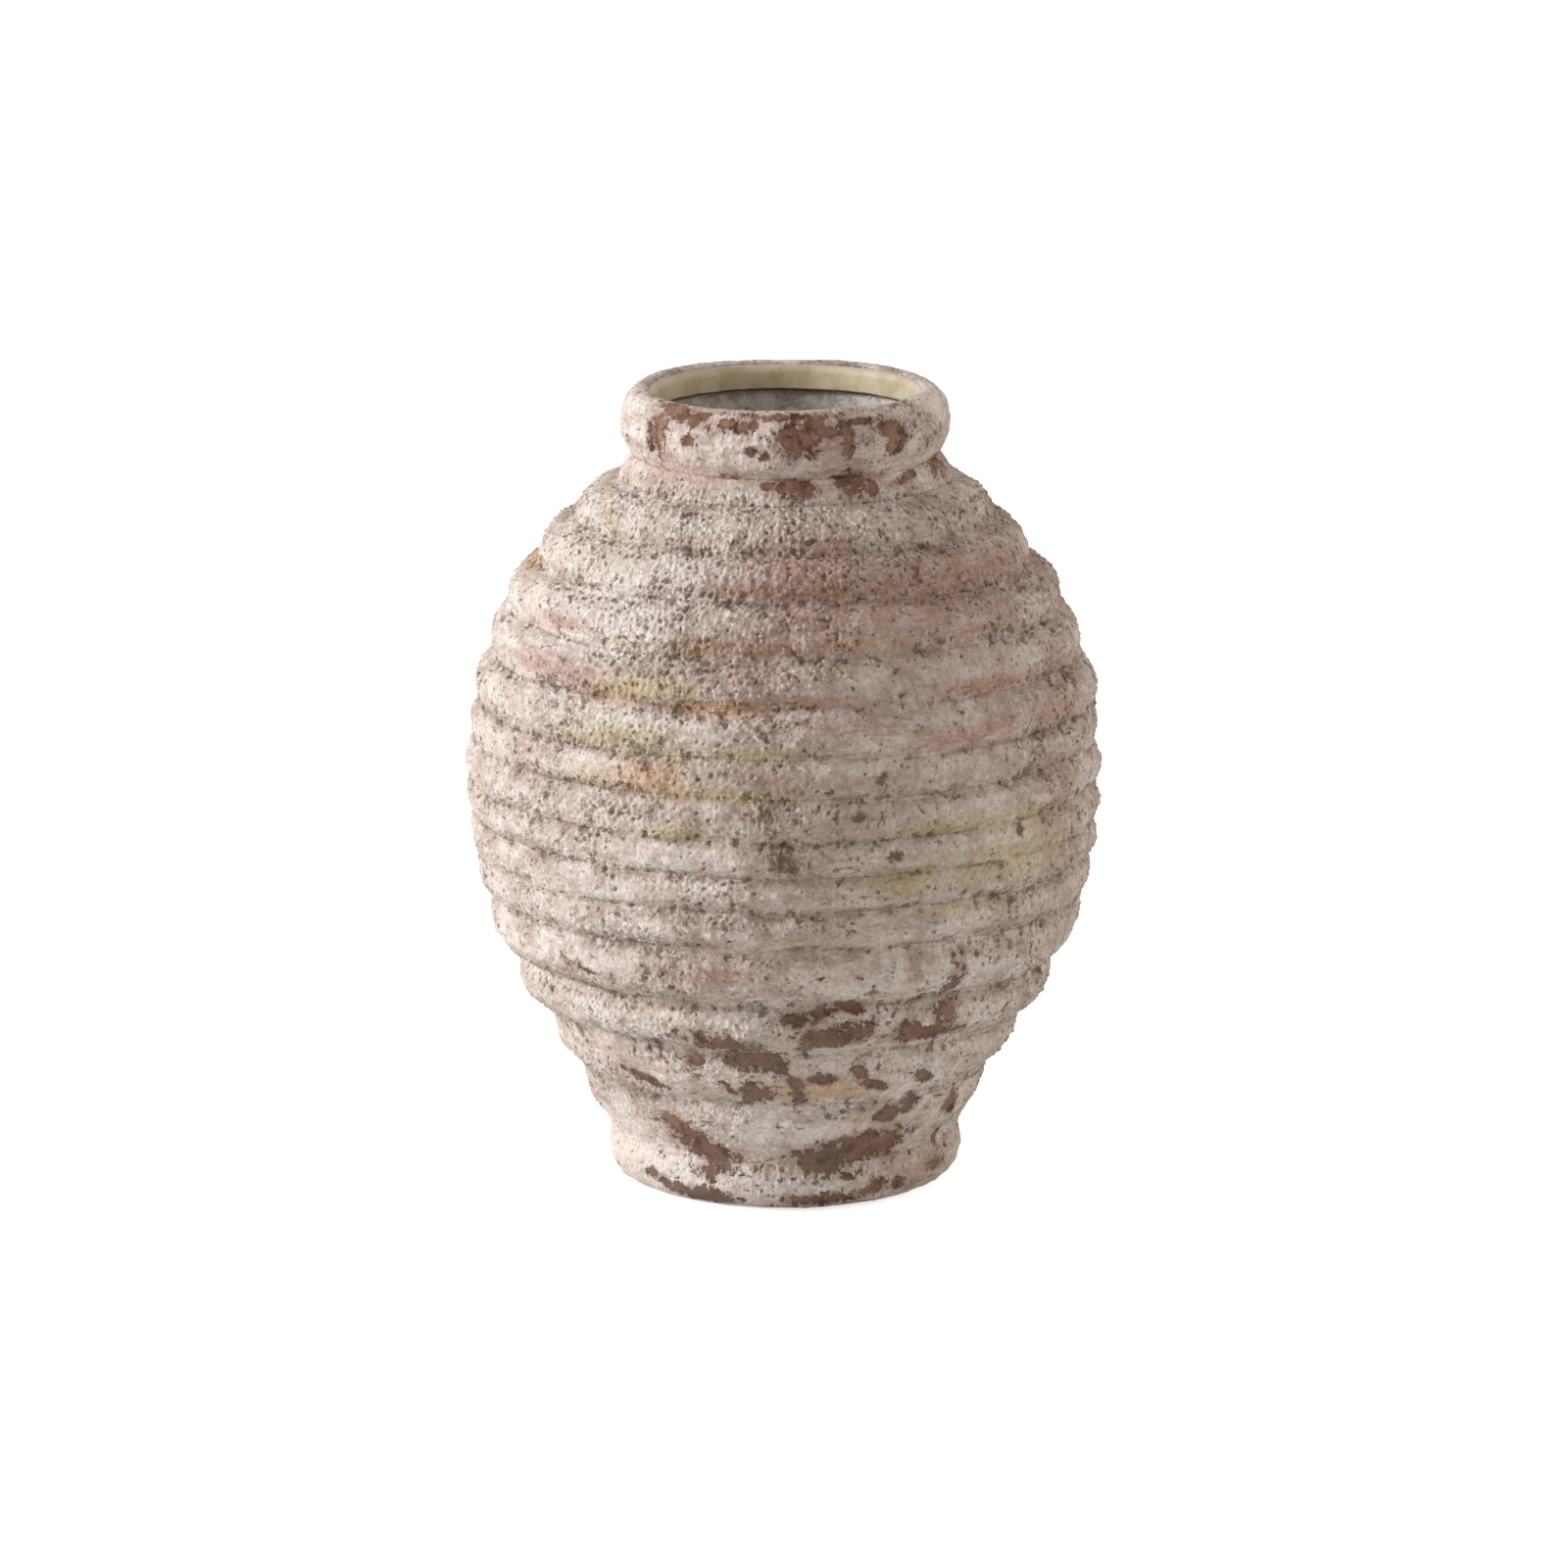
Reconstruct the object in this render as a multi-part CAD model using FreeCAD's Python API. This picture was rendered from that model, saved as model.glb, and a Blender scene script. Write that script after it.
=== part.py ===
import FreeCAD, Part

# A coil-built storage jar, a pithos, as a potter builds it: a floor disc is let into a foot ring, coils of
# clay are laid on it course by course and luted together, and a neck collar, a rolled rim and a glazed throat
# finish the mouth. Each coil shows outside as one rounded rib. Fired, the pieces are one hard body.
# Every piece is a ring or disc about the upright axis. Lengths are in millimetres, +Z is up, and the origin
# is the middle of the ring that the foot stands on.

import math
import os

# Whole vessel
vessel_height = 400.0

# Foot ring: the waist over its rounded crest is where the first coil starts
foot_height = 25.5
foot_waist_radius = 83.5
foot_crest_overhang = 4.0
foot_crest_drop = 8.5
foot_undercut = 13.5
foot_standing_width = 10.0

# Floor disc, let into a rebate that leaves this much of the foot ring outside it
floor_thickness = 12.0
rebate_wall = 4.5

# Coil wall: the radii are those of the grooves between the coils, and the ribs stand out from them
belly_radius = 155.0
belly_height = 209.0
taper_top = 120.0
wall_thickness = 8.5

# Each coil's height as a share of the wall, from the foot up, and its rib's bulge as a share of that height.
# The groove share is how much of the rib's double curve is the hollow of the groove beside it.
coil_height_shares = (
    0.103, 0.091, 0.083, 0.094, 0.061, 0.055, 0.056,
    0.064, 0.055, 0.073, 0.067, 0.074, 0.065, 0.059,
)
rib_bulge_shares = (
    0.06, 0.10, 0.23, 0.22, 0.17, 0.15, 0.15,
    0.16, 0.12, 0.17, 0.18, 0.20, 0.19, 0.20,
)
groove_share = 0.3

# Glazed throat: the pale band that lines the mouth from the rim's crown down to a sharp lower edge. Its
# upper edge lies on the crown, turned up from the throat by this many degrees. Under its lower edge the
# neck is set back by the glaze and a narrow ledge of clay.
throat_radius = 65.0
glaze_thickness = 2.0
glaze_depth = 14.0
glaze_turn = 50.0
glaze_ledge = 1.5

# Neck collar, between the last coil and the rolled rim
neck_height = 12.0
neck_wall = 6.0
neck_flare = 7.5
neck_bulge = 1.8

# Rolled rim
rim_height = 33.0
rim_overhang = 6.5
rim_crest_share = 0.485

# Radii that the sizes above settle
foot_crest_radius = foot_waist_radius + foot_crest_overhang
foot_base_radius = foot_crest_radius - foot_undercut
foot_bore_radius = foot_base_radius - foot_standing_width
floor_radius = foot_waist_radius - rebate_wall
neck_bore_radius = throat_radius + glaze_thickness + glaze_ledge
neck_waist_radius = neck_bore_radius + neck_wall
neck_root_radius = neck_waist_radius + neck_flare
rim_crest_radius = neck_waist_radius + rim_overhang

# Heights that the sizes above settle
foot_crest_height = foot_height - foot_crest_drop
floor_bottom = foot_height - floor_thickness
rim_base = vessel_height - rim_height
rim_crest_height = rim_base + rim_height * rim_crest_share
neck_root_height = rim_base - neck_height
coil_wall_height = neck_root_height - foot_height
glaze_bottom = vessel_height - glaze_depth


def point(radius, height):
    """A point of an outline, on the half plane that is turned about the axis."""
    return FreeCAD.Vector(radius, 0, height)


def line(start, end):
    """A straight stretch of an outline."""
    return Part.LineSegment(start, end).toShape()


def arc(start, middle, end):
    """A round stretch of an outline, through three points."""
    return Part.Arc(start, middle, end).toShape()


def turned(edges):
    """The solid ring that a closed outline makes when it is turned about the axis."""
    face = Part.Face(Part.Wire(edges))
    ring = face.revolve(FreeCAD.Vector(0, 0, 0), FreeCAD.Vector(0, 0, 1), 360)
    return ring if ring.Volume > 0 else ring.reversed()


def crest_arc_radius(overhang, rise):
    """Radius of an arc that is upright at its crest and ends an overhang further in and a rise away."""
    return (overhang**2 + rise**2) / (2 * overhang)


def crest_arc_middle(crest_radius, crest_height, end_radius, end_height):
    """The middle point of such an arc, between its crest and its end."""
    overhang = crest_radius - end_radius
    rise = end_height - crest_height
    radius = crest_arc_radius(overhang, abs(rise))
    half_turn = math.asin(rise / radius) / 2
    centre = crest_radius - radius
    return point(centre + radius * math.cos(half_turn), crest_height + radius * math.sin(half_turn))


# The groove line runs through all the grooves between the coils. Above the belly it is a quarter of an
# ellipse that reaches the neck root. Below the belly it is an ellipse that turns into a straight taper at
# taper_top and meets the foot's waist. The ellipses' reaches follow from the radii at those ends.
def upper_reach():
    """Half height of the upper ellipse, which passes through the neck root."""
    closing = math.sqrt(1 - (neck_root_radius / belly_radius) ** 2)
    return (neck_root_height - belly_height) / closing


def taper_top_share():
    """Radius at the top of the straight taper, as a share of the belly's."""
    taper_share = (taper_top - foot_height) / (belly_height - taper_top)
    waist_share = foot_waist_radius / belly_radius
    root = math.sqrt(waist_share**2 + 4 * (1 + taper_share) * taper_share)
    return (waist_share + root) / (2 * (1 + taper_share))


def taper_slope():
    """How much the radius grows for each millimetre up the straight taper."""
    return (belly_radius * taper_top_share() - foot_waist_radius) / (taper_top - foot_height)


def groove_radius(height):
    """Radius of the groove line at a height."""
    if height < taper_top:
        return foot_waist_radius + taper_slope() * (height - foot_height)
    reach = upper_reach()
    if height < belly_height:
        reach = (belly_height - taper_top) / math.sqrt(1 - taper_top_share() ** 2)
    return belly_radius * math.sqrt(1 - ((height - belly_height) / reach) ** 2)


def groove_slope(height):
    """How much the groove line's radius grows for each millimetre up, at a height."""
    if height < taper_top:
        return taper_slope()
    reach = upper_reach()
    if height < belly_height:
        reach = (belly_height - taper_top) / math.sqrt(1 - taper_top_share() ** 2)
    return -belly_radius**2 * (height - belly_height) / (reach**2 * groove_radius(height))


def inner_point(height):
    """The point on the inner wall straight through the wall from the groove line at a height."""
    slope = groove_slope(height)
    along = math.hypot(1, slope)
    return point(
        groove_radius(height) - wall_thickness / along,
        height + wall_thickness * slope / along,
    )


def coil_heights():
    """Heights of the grooves, from the foot's waist to the neck root."""
    total = sum(coil_height_shares)
    heights = [foot_height]
    for share in coil_height_shares:
        heights.append(heights[-1] + coil_wall_height * share / total)
    return heights


def foot_bed_radius():
    """Inner radius of the level bed on which the first coil stands."""
    return foot_waist_radius - wall_thickness * math.hypot(1, taper_slope())


def bed(index, heights):
    """Outer and inner end of the bed under coil number index, or over the last coil.

    The beds lie square to the wall, and the first and last are level, to meet the foot and the neck.
    """
    height = heights[index]
    outer = point(groove_radius(height), height)
    if index == 0:
        return outer, point(foot_bed_radius(), height)
    if index == len(heights) - 1:
        return outer, point(neck_bore_radius, height)
    return outer, inner_point(height)


def rib_edges(low, high, bulge):
    """The outer face of a coil: half a groove, the round rib and half the next groove, without a kink."""
    half = (high - low) / 2
    along = (high - low).normalize()
    outward = FreeCAD.Vector(along.z, 0, -along.x)
    turn = 2 * math.atan(bulge / half.Length)
    groove_size = groove_share * half.Length / math.sin(turn)
    rib_size = half.Length / math.sin(turn) - groove_size
    crest = low + half + outward * bulge

    def groove_point(end, inwards, angle):
        run = inwards * groove_size * math.sin(angle)
        return end + run + outward * groove_size * (1 - math.cos(angle))

    def rib_point(angle):
        run = along * rib_size * math.sin(angle)
        return crest + run - outward * rib_size * (1 - math.cos(angle))

    return [
        arc(low, groove_point(low, along, turn / 2), rib_point(-turn)),
        arc(rib_point(-turn), crest, rib_point(turn)),
        arc(rib_point(turn), groove_point(high, -along, turn / 2), high),
    ]


def make_coil(index, heights):
    """One coil: a rounded rib outside, the smooth wall inside, and the two beds it is luted on."""
    outer_low, inner_low = bed(index, heights)
    outer_high, inner_high = bed(index + 1, heights)
    bulge = rib_bulge_shares[index] * (outer_high.z - outer_low.z)
    edges = rib_edges(outer_low, outer_high, bulge)
    edges.append(line(outer_high, inner_high))
    if heights[index + 1] <= taper_top or index == len(heights) - 2:
        edges.append(line(inner_high, inner_low))
    else:
        wall_middle = inner_point((heights[index] + heights[index + 1]) / 2)
        edges.append(arc(inner_high, wall_middle, inner_low))
    edges.append(line(inner_low, outer_low))
    return turned(edges)


def make_foot_ring():
    """The ring that the jar stands on, with the rebate that takes the floor disc."""
    waist = point(foot_waist_radius, foot_height)
    crest = point(foot_crest_radius, foot_crest_height)
    base = point(foot_base_radius, 0)
    under_crest = crest_arc_middle(foot_crest_radius, foot_crest_height, foot_base_radius, 0)
    over_crest = crest_arc_middle(foot_crest_radius, foot_crest_height, foot_waist_radius, foot_height)
    rebate_top = point(floor_radius, foot_height)
    rebate_foot = point(floor_radius, floor_bottom)
    bore_top = point(foot_bore_radius, floor_bottom)
    bore_foot = point(foot_bore_radius, 0)
    return turned([
        arc(base, under_crest, crest),
        arc(crest, over_crest, waist),
        line(waist, rebate_top),
        line(rebate_top, rebate_foot),
        line(rebate_foot, bore_top),
        line(bore_top, bore_foot),
        line(bore_foot, base),
    ])


def make_floor_disc():
    """The slab that closes the jar, seated in the foot ring and held down by the first coil."""
    return Part.makeCylinder(floor_radius, floor_thickness, FreeCAD.Vector(0, 0, floor_bottom))


def make_neck_collar():
    """The short collar between the last coil and the rolled rim."""
    root = point(neck_root_radius, neck_root_height)
    waist = point(neck_waist_radius, rim_base)
    chord = waist - root
    outward = FreeCAD.Vector(chord.z, 0, -chord.x).normalize()
    middle = (root + waist) / 2 + outward * neck_bulge
    bore_top = point(neck_bore_radius, rim_base)
    bore_foot = point(neck_bore_radius, neck_root_height)
    return turned([
        arc(root, middle, waist),
        line(waist, bore_top),
        line(bore_top, bore_foot),
        line(bore_foot, root),
    ])


def rim_roll_radius():
    """Radius of the outer face of the rolled rim."""
    return crest_arc_radius(rim_crest_radius - neck_waist_radius, rim_crest_height - rim_base)


def crown_radius():
    """Radius of the rim's crown, which runs on smoothly from the roll and turns down into the throat."""
    roll = rim_roll_radius()
    inset = throat_radius - (rim_crest_radius - roll)
    drop = vessel_height - rim_crest_height
    half = inset - drop + roll
    return math.sqrt(half**2 - (inset**2 + drop**2 - roll**2)) - half


def crown_centre():
    """Centre of the crown's arc."""
    return point(throat_radius + crown_radius(), vessel_height - crown_radius())


def crown_point(turn, depth):
    """A point at a depth under the crown's surface, turned up from the throat by some degrees."""
    reach = crown_radius() - depth
    centre = crown_centre()
    angle = math.radians(turn)
    return point(centre.x - reach * math.cos(angle), centre.z + reach * math.sin(angle))


def glaze_edge(depth):
    """The edge of the glaze up the crown and back to the throat, at a depth under the rim's surface."""
    return arc(crown_point(glaze_turn, depth), crown_point(glaze_turn / 2, depth), crown_point(0, depth))


def make_rim_roll():
    """The rolled rim, cut back inside to take the glazed throat."""
    roll = rim_roll_radius()
    roll_centre = point(rim_crest_radius - roll, rim_crest_height)
    towards_crown = (crown_centre() - roll_centre).normalize()
    shoulder = roll_centre + towards_crown * roll
    half_turn = math.atan2(towards_crown.z, towards_crown.x) / 2
    over_crest = point(
        roll_centre.x + roll * math.cos(half_turn),
        roll_centre.z + roll * math.sin(half_turn),
    )
    shoulder_turn = 180 - math.degrees(2 * half_turn)
    crown_middle = crown_point((shoulder_turn + glaze_turn) / 2, 0)
    waist = point(neck_waist_radius, rim_base)
    crest = point(rim_crest_radius, rim_crest_height)
    under_crest = crest_arc_middle(rim_crest_radius, rim_crest_height, neck_waist_radius, rim_base)
    glaze_foot = point(throat_radius + glaze_thickness, glaze_bottom)
    shelf = point(neck_bore_radius, glaze_bottom)
    bore_foot = point(neck_bore_radius, rim_base)
    return turned([
        arc(waist, under_crest, crest),
        arc(crest, over_crest, shoulder),
        arc(shoulder, crown_middle, crown_point(glaze_turn, 0)),
        line(crown_point(glaze_turn, 0), crown_point(glaze_turn, glaze_thickness)),
        glaze_edge(glaze_thickness),
        line(crown_point(0, glaze_thickness), glaze_foot),
        line(glaze_foot, shelf),
        line(shelf, bore_foot),
        line(bore_foot, waist),
    ])


def make_throat_glaze():
    """The pale glazed band from the inner side of the crown down the throat."""
    face_foot = point(throat_radius, glaze_bottom)
    back_foot = point(throat_radius + glaze_thickness, glaze_bottom)
    return turned([
        glaze_edge(0),
        line(crown_point(0, 0), face_foot),
        line(face_foot, back_foot),
        line(back_foot, crown_point(0, glaze_thickness)),
        glaze_edge(glaze_thickness),
        line(crown_point(glaze_turn, glaze_thickness), crown_point(glaze_turn, 0)),
    ])


def all_pieces():
    """Every piece by name, from the foot up."""
    pieces = {"foot_ring": make_foot_ring(), "floor_disc": make_floor_disc()}
    heights = coil_heights()
    for index in range(len(coil_height_shares)):
        pieces[f"coil_{index + 1:02d}"] = make_coil(index, heights)
    pieces["neck_collar"] = make_neck_collar()
    pieces["rim_roll"] = make_rim_roll()
    pieces["throat_glaze"] = make_throat_glaze()
    return pieces


os.makedirs("parts", exist_ok=True)
for name, shape in all_pieces().items():
    shape.exportStep(os.path.join("parts", name + ".step"))
    print(name, "volume cm3", round(shape.Volume / 1000, 1), "valid", shape.isValid())
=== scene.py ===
# %% [markdown]
# # A lime-washed storage jar
# The real thing is a decorative pithos of red clay. Fourteen fat coils are laid one on another between a ring
# foot and a short neck, a thick roll makes the rim, and a thin cream glaze lines the throat. A gritty coat of
# lime covers the outside, and it has pits, stains and places where it has flaked off.
#
# The CAD model is loaded first. It fixes every size and place, so nothing here is scaled or moved to fit.

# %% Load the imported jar
import math

import bpy
import numpy as np
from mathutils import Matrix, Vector


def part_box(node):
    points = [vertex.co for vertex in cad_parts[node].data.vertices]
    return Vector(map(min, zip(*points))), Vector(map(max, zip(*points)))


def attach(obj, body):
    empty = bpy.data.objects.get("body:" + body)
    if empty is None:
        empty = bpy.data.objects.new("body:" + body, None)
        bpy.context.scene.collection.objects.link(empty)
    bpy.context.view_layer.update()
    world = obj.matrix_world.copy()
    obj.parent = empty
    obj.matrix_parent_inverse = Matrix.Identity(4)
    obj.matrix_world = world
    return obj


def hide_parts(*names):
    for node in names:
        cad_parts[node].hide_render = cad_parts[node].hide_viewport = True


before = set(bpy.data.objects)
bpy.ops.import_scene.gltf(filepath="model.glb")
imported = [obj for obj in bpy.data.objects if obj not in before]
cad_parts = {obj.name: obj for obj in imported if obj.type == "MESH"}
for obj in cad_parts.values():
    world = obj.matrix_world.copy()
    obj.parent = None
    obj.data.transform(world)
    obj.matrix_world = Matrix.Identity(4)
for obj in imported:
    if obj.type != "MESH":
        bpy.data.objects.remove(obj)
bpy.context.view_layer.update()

# %% [markdown]
# ## The camera
# A picture of a product is taken from far away with a long lens, so that its outline is hardly distorted. The
# rings of the jar show as flat ellipses, which puts this camera about 13 degrees above the jar's middle. It
# is made first, because the marks on the crust are placed by what it sees. The aim is half a millimetre off
# the axis because the jar stands a pixel to the right of the middle of the photograph.

# %% Set up the camera
PICTURE = 1600
camera_rise = math.radians(12.8)
camera_distance = 4.641
focal_pixels = 9500
sensor_width = 36
aim = Vector((-0.0005, 0, 0.1983))


def new_object(name, data):
    """An object with its data, put into the scene."""
    thing = bpy.data.objects.new(name, data)
    bpy.context.scene.collection.objects.link(thing)
    return thing


lens = bpy.data.cameras.new("long lens")
lens.sensor_width = sensor_width
lens.lens = focal_pixels * sensor_width / PICTURE
lens.clip_end = 100
camera = new_object("camera", lens)
camera.location = aim + camera_distance * Vector((0, -math.cos(camera_rise), math.sin(camera_rise)))
camera.rotation_euler = (math.pi / 2 - camera_rise, 0, 0)
bpy.context.scene.camera = camera


def seen_at(x, y, z):
    """The column and row of the picture where the camera sees a place, and how far away the place is."""
    x, y, z = x - camera.location.x, y - camera.location.y, z - camera.location.z
    depth = y * math.cos(camera_rise) - z * math.sin(camera_rise)
    upward = y * math.sin(camera_rise) + z * math.cos(camera_rise)
    return PICTURE / 2 + focal_pixels * x / depth, PICTURE / 2 - focal_pixels * upward / depth, depth


print("Lens in mm:", round(lens.lens, 2), "The foot's middle is seen at", seen_at(0, 0, 0)[:2])

# %% [markdown]
# ## Helpers for node trees
# Two kinds of node tree are built below: Geometry Nodes shape the clay, and shader nodes paint it. Many of
# their nodes are the same, so a few short helpers serve both. What comes out of a node is held as a flow. A
# sum that is written with flows, such as height * 0.5 + rise, adds the nodes that work it out. Each other
# helper adds a node, feeds it and gives back what comes out of it, which keeps a long tree readable as a list
# of steps.

# %% Let sums be written with what comes out of nodes
class Flow:
    """What comes out of a node. A sum written with flows adds the nodes that work it out."""

    def __init__(self, socket):
        self.socket, self.tree = socket, socket.id_data

    def __add__(self, other):
        return maths("ADD", self, other)

    def __sub__(self, other):
        return maths("SUBTRACT", self, other)

    def __rsub__(self, other):
        return maths("SUBTRACT", other, self)

    def __mul__(self, other):
        return maths("MULTIPLY", self, other)


def feed(socket, source):
    """Joins a socket to a flow, or sets its value."""
    if isinstance(source, Flow):
        source.tree.links.new(source.socket, socket)
    else:
        socket.default_value = source


def add(tree, kind, inputs=(), output=0, **settings):
    """Adds a node with its settings, feeds the named inputs and gives back one of its outputs."""
    node = tree.nodes.new(kind)
    for name, value in settings.items():
        setattr(node, name, value)
    for name, source in dict(inputs).items():
        feed([s for s in node.inputs if s.name == name and s.enabled][0], source)
    return Flow([s for s in node.outputs if s.enabled][output])


def maths(operation, *values, kind="ShaderNodeMath"):
    """Adds one sum of numbers."""
    node = next(value.tree for value in values if isinstance(value, Flow)).nodes.new(kind)
    node.operation = operation
    for socket, value in zip([s for s in node.inputs if s.enabled], values):
        feed(socket, value)
    return Flow(node.outputs[0])


def vectors(operation, *values):
    """Adds one sum of vectors. A single number scales, so it goes to the node's Scale."""
    return maths(operation, *values, kind="ShaderNodeVectorMath")


print("A flow takes +, - and *. Other sums go by their operation's name, such as MAXIMUM.")


# %% Add the nodes that both kinds of tree use
def slope(value, low, high, first=0.0, last=1.0):
    """Turns a number into a soft step from first to last, as it goes from low to high."""
    inputs = {"Value": value, "From Min": low, "From Max": high, "To Min": first, "To Max": last}
    return add(value.tree, "ShaderNodeMapRange", inputs, interpolation_type="SMOOTHSTEP")


def noise(place, size, detail=2.0, roughness=0.5, output=0):
    """Cloudy noise whose blobs are about as wide as size, in metres. Output 1 is a vector of three noises."""
    inputs = {"Vector": place, "Scale": 0.5 / size, "Detail": detail, "Roughness": roughness}
    return add(place.tree, "ShaderNodeTexNoise", inputs, output)


def cells(place, size):
    """Fills space with cells as wide as size. Gives how far off a cell's middle is, and the cell's chance."""
    away = add(place.tree, "ShaderNodeTexVoronoi", {"Vector": place, "Scale": 1 / size})
    return away, add(place.tree, "ShaderNodeSeparateXYZ", {"Vector": Flow(away.socket.node.outputs["Color"])})


def stored(tree, name, vector=False):
    """Reads a number or a vector that is stored on the mesh."""
    if tree.type == "GEOMETRY":
        return add(tree, "GeometryNodeInputNamedAttribute", {"Name": name},
                   data_type="FLOAT_VECTOR" if vector else "FLOAT")
    return add(tree, "ShaderNodeAttribute", output=1 if vector else 2, attribute_name=name)


def tint(code):
    """A colour written as six hexadecimal digits, in the linear numbers that Blender's sockets take."""
    parts = [int(code[i:i + 2], 16) / 255 for i in (0, 2, 4)]
    return [p / 12.92 if p <= 0.04045 else ((p + 0.055) / 1.055) ** 2.4 for p in parts] + [1]


print("A pale crust in linear numbers:", [round(part, 3) for part in tint("d8c4b8")])


# %% Make, end and run a Geometry Nodes tree
def store(geometry, name, value, vector=False):
    """Stores a number or a vector on the points of the geometry."""
    inputs = {"Geometry": geometry, "Name": name, "Value": value}
    return add(geometry.tree, "GeometryNodeStoreNamedAttribute", inputs,
               data_type="FLOAT_VECTOR" if vector else "FLOAT")


def new_geometry_tree(name, inputs):
    """A Geometry Nodes tree with named inputs, what flows out of them and their identifiers."""
    tree = bpy.data.node_groups.new(name, "GeometryNodeTree")
    tree.interface.new_socket(name="Geometry", in_out="OUTPUT", socket_type="NodeSocketGeometry")
    tree.interface.new_socket(name="Geometry", in_out="INPUT", socket_type="NodeSocketGeometry")
    sockets = {}
    for label, kind in inputs.items():
        socket = tree.interface.new_socket(name=label, in_out="INPUT", socket_type="NodeSocket" + kind)
        sockets[label] = socket.identifier
    outputs = tree.nodes.new("NodeGroupInput").outputs
    return tree, {label: Flow(outputs[label]) for label in ("Geometry", *inputs)}, sockets


def end_tree(geometry, material):
    """Ends a tree as the export needs it: real geometry with its material set."""
    real = add(geometry.tree, "GeometryNodeRealizeInstances", {"Geometry": geometry})
    done = add(geometry.tree, "GeometryNodeSetMaterial", {"Geometry": real, "Material": material})
    feed(geometry.tree.nodes.new("NodeGroupOutput").inputs[0], done)


def shaped(piece, tree, sockets, values):
    """Runs a tree on a piece and keeps the result as a plain mesh, with no modifier left."""
    modifier = piece.modifiers.new(tree.name, "NODES")
    modifier.node_group = tree
    for label, value in values.items():
        modifier[sockets[label]] = value
    bpy.context.view_layer.update()
    graph = bpy.context.evaluated_depsgraph_get()
    mesh = bpy.data.meshes.new_from_object(piece.evaluated_get(graph), preserve_all_data_layers=True,
                                           depsgraph=graph)
    piece.modifiers.clear()
    piece.data = mesh
    return piece


print("Node groups so far:", len(bpy.data.node_groups))

# %% [markdown]
# ## Reading each piece's section
# Every piece of the jar was turned or laid round one axis, so the cut through one side says all about it. The
# loaded solids have a seam where their faces start and end. Its points, taken in the order in which triangles
# join them, are that cut. Reading it here, instead of writing sizes again, keeps the looks on the solids.

# %% Read the cut through one side of a piece
SEAM = 1e-7
WALL_ORDER = ["foot_ring"] + [f"coil_{n:02d}" for n in range(1, 15)] + ["neck_collar", "rim_roll"]


def section_of(name):
    """The closed outline of a piece's cut, in rows of radius and height, with the clay on its left."""
    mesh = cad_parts[name].data
    points = np.array([v.co for v in mesh.vertices])
    on_seam = (abs(points[:, 1]) < SEAM) & (points[:, 0] > 0)
    label = [tuple(np.round(p[[0, 2]], 6)) if s else None for p, s in zip(points, on_seam)]
    place, joined = {}, {}
    for face in mesh.polygons:
        a, b, c = face.vertices
        for one, other in ((a, b), (b, c), (c, a)):
            if label[one] and label[other] and label[one] != label[other]:
                place[label[one]] = points[one][[0, 2]]
                place[label[other]] = points[other][[0, 2]]
                joined.setdefault(label[one], set()).add(label[other])
                joined.setdefault(label[other], set()).add(label[one])
    loop = [min(joined, key=lambda p: (p[1], -p[0]))]
    while True:
        onward = [p for p in sorted(joined[loop[-1]]) if p not in loop]
        if not onward:
            break
        loop.append(onward[0])
    outline = np.array([place[p] for p in loop])
    after = np.roll(outline, -1, axis=0)
    turned_left = np.sum(outline[:, 0] * after[:, 1] - after[:, 0] * outline[:, 1]) > 0
    return outline if turned_left else outline[::-1]


low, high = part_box("floor_disc")
outlines = {"floor_disc": np.array([(0, low.z), (high.x, low.z), (high.x, high.z), (0, high.z)])}
for name in WALL_ORDER + ["throat_glaze"]:
    outlines[name] = section_of(name)
print("Points in each cut:", {name: len(outline) for name, outline in outlines.items()})

# %% [markdown]
# ## Even points along a section
# A cut has corners, where a coil's rounded face meets its flat bed. Between two corners it is a smooth run.
# Each run gets evenly spaced points on a smooth curve, close together where the crust will be worked and far
# apart where nobody looks. A run that lies on a neighbour is a joint between two courses of clay: it gets no
# points of its own, so that both neighbours keep the same two corners and no gap can open.

# %% Space points evenly along a run
CORNER = math.cos(math.radians(32))
TOUCH = 0.0001
UNDERSIDE = 0.014
UNDER_OUTWARD, SKIN_OUTWARD = 0.5, 0.2
spacing = {
    "skin": 0.0008, "lining": 0.003, "under": 0.003, "joint": 1.0}
steps_round = 1200
disc_steps_round = 240


def walked_along(points):
    """How far each point is from the first one, along the points between them."""
    return np.concatenate([[0], np.cumsum(np.linalg.norm(np.diff(points, axis=0), axis=1))])


def away_from(outline, point):
    """How far a point is from an outline."""
    a, b = outline, np.roll(outline, -1, axis=0)
    share = np.clip(np.sum((point - a) * (b - a), 1) / np.sum((b - a) ** 2, 1), 0, 1)
    return np.min(np.linalg.norm(a + share[:, None] * (b - a) - point, axis=1))


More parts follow.
